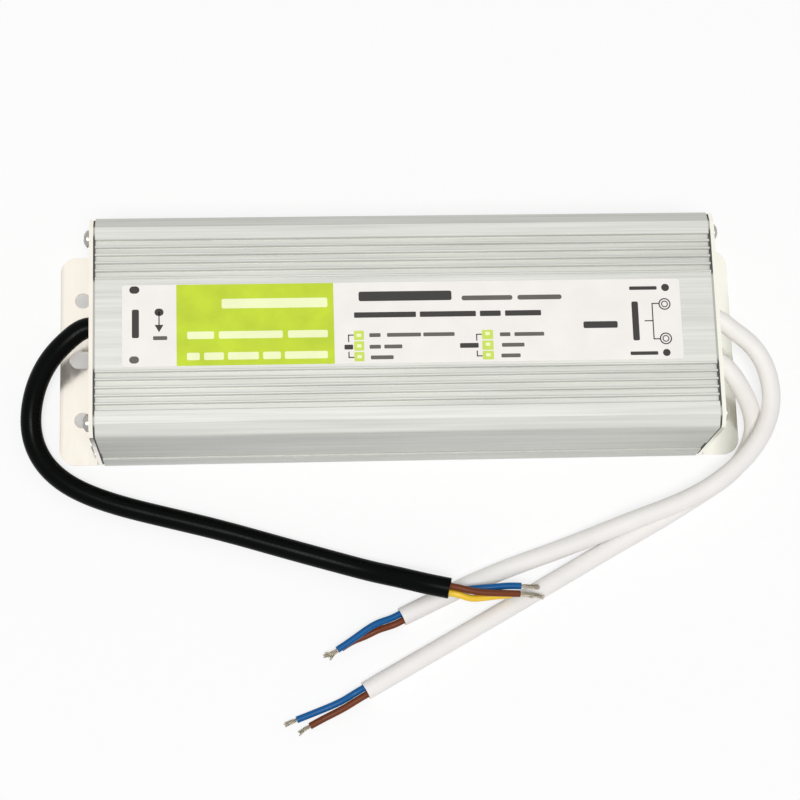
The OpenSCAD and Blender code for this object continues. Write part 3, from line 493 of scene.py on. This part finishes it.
def strands(name, routes, seed):
    """Bare wires, each a thin tube whose centre winds as a helix round its bundle's spline: turns grow with
    the share of the way, the radius opens with its square, and each wire stops a little short of the tip
    by its own amount. The first wire of a bundle lies on the spline."""
    rng = np.random.default_rng(seed)
    layer = np.where(np.arange(WIRES) == 0, 0.0, 1.0)[:, None]
    phase = (np.arange(WIRES) / (WIRES - 1) * 2 * math.pi)[:, None]
    grids = []
    for route in routes:
        line = smooth_line(route, STRAND_STEP)
        share = np.linspace(0, 1, WIRE_RINGS)[None, :] * rng.uniform(SHORTEST_WIRE, 1.0, (WIRES, 1))
        at = share * (len(line) - 1)
        axis = np.stack([np.interp(at, np.arange(len(line)), line[:, k]) for k in range(3)], axis=-1)
        _, level, upright = across(line)
        level, upright = level[at.astype(int)], upright[at.astype(int)]
        angle = phase + TWIST * share + rng.uniform(-TWIST_SPREAD, TWIST_SPREAD, (WIRES, 1))
        reach = layer * (BUNDLE_R + SPLAY * share**2 * rng.uniform(*SPLAY_SPREAD, (WIRES, 1)))
        aside = (reach * np.cos(angle))[..., None] * level
        centre = axis + aside + (reach * np.sin(angle))[..., None] * upright
        centre[..., 2] = np.maximum(centre[..., 2], WIRE_R)
        grids.append(tube_grid(centre, level, upright, np.full(share.shape, WIRE_R), WIRE_SIDES))
    return tubes(name, np.concatenate(grids), finishes["tinned_strands"])


def dressed_cord(prefix, route, diameter, jacket_slot, cores, seed):
    """One cord with its jacket, cores and strands, each standing for its CAD node. Each core has a colour,
    an offset in its own diameters, its points beyond the jacket and the tip of its strands."""
    body, line = jacket(prefix + "_jacket", route, diameter, finishes[jacket_slot])
    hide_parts(prefix)
    pieces, strand_routes = [], []
    for tone, offset, points, tip in cores:
        plan = core_route(route, np.array(offset) * CORE_D, points)
        piece = core(f"{prefix}_{tone}_insulation", plan, CORE_D, finishes[f"{tone}_insulation"])
        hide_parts(f"{prefix}_{tone}_core")
        pieces.append(piece)
        strand_routes.append(strand_route(plan, tip))
    bundle = strands(prefix + "_bare_wires", strand_routes, seed)
    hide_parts(prefix + "_strands")
    pieces.append(bundle)
    for piece in [body, *pieces]:
        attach(piece, "root")


dressed_cord(
    "input_cord", input_route, INPUT_D, "black_jacket",
    cores=[
        ("blue", (-0.25, -0.5), [[20.2, -76.3, 9], [25.7, -76, 9], [30.9, -75.7, 8.9], [34.7, -75.8, 8.7]],
         [40.9, -76.4, 8]),
        ("brown", (-0.25, 0.55), [[20, -77.5, 11.1], [27.1, -78.1, 10.5], [34.1, -78.3, 9.6]],
         [41.8, -79.4, 8.2]),
        ("earth", (0.66, 0.02),
         [[18.9, -79.3, 9.4], [22.5, -79.2, 8.8], [26.1, -78.8, 8.4], [31.6, -78.3, 7.7]],
         [38.7, -78.9, 7.2])],
    seed=3)
dressed_cord(
    "output_cord_rear", rear_route, OUTPUT_D, "white_jacket",
    cores=[
        ("blue", (0.52, 0), [[-8.7, -85.2, 3.2], [-15.3, -89, 3.3], [-19.6, -91.9, 3.3], [-22, -93.4, 3.3]],
         [-26.6, -94.9, 2.6]),
        ("brown", (-0.52, 0),
         [[-9.2, -87.4, 1.6], [-13.6, -89.3, 1.1], [-16.8, -90.5, 1.1], [-20.7, -92.7, 1.1]],
         [-24.8, -95.8, 0.7])],
    seed=5)
dressed_cord(
    "output_cord_front", front_route, OUTPUT_D, "white_jacket",
    cores=[
        ("blue", (0.52, 0), [[-20, -108.4, 2], [-26.4, -111.1, 1.1], [-34.8, -114.2, 1.1]],
         [-38.7, -115.7, 0.7]),
        ("brown", (-0.52, 0), [[-20, -110.9, 2], [-26.5, -114, 1.1], [-30.8, -116.2, 1.1]],
         [-34.5, -118.5, 0.7])],
    seed=7)


# Label print, in millimetres: flat marks of ink just above the film

LABEL_TOP = 41.7
INK_LEVEL, INK_BODY = 0.02, 0.012
OUTLINE_POINTS = 24
LINE_WIDTH = 0.35


def rounded(marks):
    """Outline of each mark (x, y, width, height, corner): the corner's circle about the corner's own
    centre, which the signs of cosine and sine pick, at evenly spaced angles."""
    x, y, width, height, corner = np.array(marks, float).T[:, :, None]
    a = (np.arange(OUTLINE_POINTS) + 0.5) / OUTLINE_POINTS * 2 * math.pi
    r = np.minimum(corner, np.minimum(width, height) / 2)
    across_x = np.sign(np.cos(a)) * (width / 2 - r) + r * np.cos(a)
    across_y = np.sign(np.sin(a)) * (height / 2 - r) + r * np.sin(a)
    return np.stack([x + across_x, y + across_y], axis=-1)


def print_layer(name, ink, marks, rings=(), wedges=(), level=INK_LEVEL):
    """Layer of ink at one level: filled marks, rings between an outline and its smaller copy, and
    three-cornered wedges, all with a little thickness."""
    points = [rounded(marks).reshape(-1, 2)]
    faces = np.arange(len(points[0])).reshape(-1, OUTLINE_POINTS).tolist()
    start = len(points[0])
    if len(rings):
        outer = rounded([r[:5] for r in rings])
        middle = np.array([r[:2] for r in rings])[:, None]
        share = np.array([r[5] for r in rings])[:, None, None]
        both = np.stack([outer, middle + share * (outer - middle)], axis=1)
        index = start + np.arange(both.size // 2).reshape(len(rings), 2, OUTLINE_POINTS)
        after = np.roll(index, -1, axis=2)
        quads = np.stack([index[:, 0], after[:, 0], after[:, 1], index[:, 1]], axis=-1)
        points.append(both.reshape(-1, 2))
        faces += quads.reshape(-1, 4).tolist()
        start += len(points[-1])
    if len(wedges):
        points.append(np.array(wedges, float).reshape(-1, 2))
        faces += (start + np.arange(len(wedges) * 3)).reshape(-1, 3).tolist()
    flat = np.concatenate(points)
    place = np.concatenate([flat, np.full((len(flat), 1), LABEL_TOP + level)], axis=1) * MM
    mesh = bpy.data.meshes.new(name)
    mesh.from_pydata(place.tolist(), [], faces)
    piece = placed(name, mesh, ink)
    body = piece.modifiers.new("thickness", "SOLIDIFY")
    body.thickness, body.offset = INK_BODY * MM, -1.0
    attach(piece, "root")


def bars(y, height, spans, corner=0.3):
    """Bars of one line of print, one for each (middle, length)."""
    return [(x, y, width, height, corner) for x, width in spans]


def strokes(lines):
    """Thin straight lines from (x0, y0) to (x1, y1), along one of the label's edges."""
    return [((x0 + x1) / 2, (y0 + y1) / 2, abs(x1 - x0) + LINE_WIDTH, abs(y1 - y0) + LINE_WIDTH,
             LINE_WIDTH / 3) for x0, y0, x1, y1 in lines]


print_layer("label_green_field", green_ink, [(-45.4, -0.5, 46.9, 25.1, 0.2)])
print_layer(
    "label_lime_squares", lime_ink,
    [(-14.6, -4.4, 3.0, 2.9, 0.3), (-14.6, -7.7, 3.0, 2.9, 0.3), (-14.6, -11.0, 3.0, 2.9, 0.3),
     (24.0, -4.7, 3.4, 2.9, 0.3), (24.0, -8.0, 3.4, 2.9, 0.3), (24.0, -11.1, 3.4, 2.7, 0.3)])
print_layer(
    "label_pale_print", pale_ink,
    bars(6.0, 3.0, [(-39.6, 31.6)], 0.6)
    + bars(-3.7, 2.3, [(-61.7, 8.0), (-46.8, 19.0), (-29.8, 11.9)], 0.5)
    + bars(-10.2, 2.3, [(-63.9, 3.8), (-57.8, 5.9), (-49.1, 9.2), (-40.6, 5.3), (-30.4, 12.8)], 0.5)
    + bars(-4.4, 1.0, [(-14.6, 1.4), (24.0, 1.4)])
    + bars(-7.7, 1.0, [(-14.6, 1.4), (24.0, 1.4)])
    + bars(-11.0, 1.0, [(-14.6, 1.4), (24.0, 1.4)]),
    level=2 * INK_LEVEL)
print_layer(
    "label_black_print", black_ink,
    [(-81.3, 10.6, 3.0, 2.3, 2.0), (78.6, 9.3, 2.4, 2.3, 2.0), (77.9, -11.1, 2.3, 2.2, 2.0),
     (-74.0, 3.6, 2.7, 2.3, 2.0), (-81.0, 0.1, 2.1, 8.8, 0.5), (69.0, -1.1, 2.0, 12.2, 0.5)]
    + bars(7.7, 3.0, [(-0.4, 28.0)], 0.6)
    + bars(1.9, 1.7, [(-6.6, 18.6), (12.3, 16.9), (25.1, 6.3), (35.0, 10.9)])
    + bars(-2.1, 2.1, [(58.3, 10.4)], 0.5)
    + bars(-8.0, 1.5, [(-17.7, 2.6), (18.4, 5.6)])
    + bars(9.2, 1.1, [(71.8, 8.4)])
    + bars(-11.2, 1.1, [(71.1, 8.4)])
    + strokes([(-74.0, 3.6, -74.0, -0.4), (-17.7, -4.3, -17.7, -6.3), (-17.7, -4.3, -16.3, -4.3),
               (-17.7, -9.6, -17.7, -11.2), (-17.7, -11.2, -16.3, -11.2), (20.7, -4.6, 20.7, -6.4),
               (20.7, -4.6, 22.1, -4.6), (20.7, -9.8, 20.7, -11.3), (20.7, -11.3, 22.1, -11.3),
               (74.3, 4.3, 74.3, -6.8), (74.3, 4.3, 76.2, 4.3), (74.3, -6.8, 76.0, -6.8),
               (71.9, -1.1, 74.3, -1.1)]),
    rings=[(78.1, 4.1, 3.7, 3.7, 2.0, 0.8), (78.1, 4.1, 2.1, 2.1, 2.0, 0.7),
           (77.9, -6.7, 3.7, 3.7, 2.0, 0.8), (77.9, -6.7, 2.1, 2.1, 2.0, 0.7)],
    wedges=[[(-74.0, -2.6), (-72.7, -0.3), (-75.3, -0.3)]])
print_layer(
    "label_grey_print", grey_ink,
    [(-81.4, -11.0, 2.9, 2.2, 2.0)]
    + bars(-4.4, 1.2, [(-73.7, 4.2), (-9.8, 3.4), (-1.1, 10.2), (9.4, 9.4)])
    + bars(6.8, 1.5, [(24.3, 15.4), (40.2, 13.4)], 0.7)
    + bars(-4.7, 1.2, [(29.3, 3.2), (36.6, 9.0)])
    + bars(-8.0, 1.2, [(-9.8, 3.4), (-4.4, 5.4), (31.6, 6.8)])
    + bars(-11.3, 1.2, [(-7.8, 6.8), (30.8, 5.8)]))


# Floor, light and camera

FLOOR_HALF = 3.0
FOOT_HALF = (104 * MM, 24 * MM)
# The floor's darker grey under the driver is painted shade
FLOOR_SHADE_UNDER, FLOOR_OPEN, FLOOR_GLOW = 0.62, 0.94, 0.7
WORLD_LIGHT = 0.42
LAMP_UP = (0.0, 1.0, 0.01)
SENSOR_WIDTH, CLIP_START = 36.0, 0.01


def seen_white(tree):
    """One for the rays that show the backdrop itself, to the camera and in reflections, and nought for the
    rest."""
    path = add_node(tree, "ShaderNodeLightPath").outputs
    seen = calc(tree, "MAXIMUM", path["Is Camera Ray"], path["Is Glossy Ray"])
    return calc(tree, "MAXIMUM", seen, path["Is Transmission Ray"])


def floor_finish():
    """White floor that shows white to the camera and in reflections with a share of its shade. Under the
    driver, where it is seen through the holes of the flanges, it is painted a darker grey as painted shade
    and keeps all of its shade."""
    material = bpy.data.materials.new("studio_floor")
    material.use_nodes = True
    tree = material.node_tree
    tree.nodes.clear()
    place = add_node(tree, "ShaderNodeTexCoord").outputs["Object"]
    axes = add_node(tree, "ShaderNodeSeparateXYZ", {0: place}).outputs
    beyond = [calc(tree, "GREATER_THAN", calc(tree, "ABSOLUTE", axes[k]), FOOT_HALF[k]) for k in range(2)]
    clear = calc(tree, "MAXIMUM", *beyond)
    # Painted shade: a darker floor grey under the driver, seen through the flange holes
    tone = add_node(tree, "ShaderNodeMapRange", {"Value": clear, "To Min": FLOOR_SHADE_UNDER, "To Max": FLOOR_OPEN})
    matt = add_node(tree, "ShaderNodeBsdfDiffuse", {"Color": tone.outputs[0]})
    glow = add_node(tree, "ShaderNodeEmission")
    share = calc(tree, "MULTIPLY", calc(tree, "MULTIPLY", clear, FLOOR_GLOW), seen_white(tree))
    mix = add_node(tree, "ShaderNodeMixShader", {0: share, 1: matt.outputs[0], 2: glow.outputs[0]})
    add_node(tree, "ShaderNodeOutputMaterial", {"Surface": mix.outputs[0]})
    return material


floor_mesh = bpy.data.meshes.new("studio_floor")
floor_corners = np.array([[-1, -1, 0], [1, -1, 0], [1, 1, 0], [-1, 1, 0]]) * FLOOR_HALF
floor_mesh.from_pydata(floor_corners.tolist(), [], [[0, 1, 2, 3]])
floor = placed("studio_floor", floor_mesh, floor_finish())

world = bpy.data.worlds.new("studio")
bpy.context.scene.world = world
world.use_nodes = True
sky = world.node_tree.nodes["Background"]
sky.inputs["Color"].default_value = (1.0, 1.0, 1.0, 1.0)
sky_inputs = {"Value": seen_white(world.node_tree), "To Min": WORLD_LIGHT}
strength = add_node(world.node_tree, "ShaderNodeMapRange", sky_inputs)
world.node_tree.links.new(strength.outputs[0], sky.inputs["Strength"])


def posed(name, data, right, up, back, place):
    """Object of a lamp or a camera that has these axes and stands at its place."""
    pose = np.eye(4)
    pose[:3] = np.stack([right, up, back, place], axis=1)
    thing = bpy.data.objects.new(name, data)
    bpy.context.scene.collection.objects.link(thing)
    thing.matrix_world = Matrix(pose.tolist())
    return thing


def softbox(name, place, target, size, watts):
    """Square soft light that looks from its place to its target."""
    lamp = bpy.data.lights.new(name, "AREA")
    lamp.shape, lamp.size, lamp.energy = "SQUARE", size, watts
    back = unit(np.array(place) - np.array(target))
    right = unit(np.cross(LAMP_UP, back))
    return posed(name, lamp, right, np.cross(back, right), back, place)


def photo_camera(place, yaw, pitch, roll, lens):
    """Camera whose view direction is yaw from +Y and pitch below level, turned by roll about it."""
    level = np.array([math.cos(yaw), -math.sin(yaw), 0.0])
    ahead = math.cos(pitch) * np.array([math.sin(yaw), math.cos(yaw), 0.0]) - math.sin(pitch) * np.array(UP)
    over = np.cross(level, ahead)
    right = math.cos(roll) * level + math.sin(roll) * over
    up = -math.sin(roll) * level + math.cos(roll) * over
    data = bpy.data.cameras.new("photo_camera")
    data.lens, data.sensor_width, data.clip_start = lens, SENSOR_WIDTH, CLIP_START
    return posed("photo_camera", data, right, up, -ahead, place)


softbox("key_softbox", place=(-0.08, -0.76, 2.7), target=(0.0, -0.02, 0.0), size=0.9, watts=46.5)
bpy.context.scene.camera = photo_camera(
    place=(-0.042806, -0.177428, 0.661665), yaw=0.255195, pitch=1.321180, roll=0.231651, lens=96.98)
bpy.context.scene.view_settings.view_transform = "Standard"
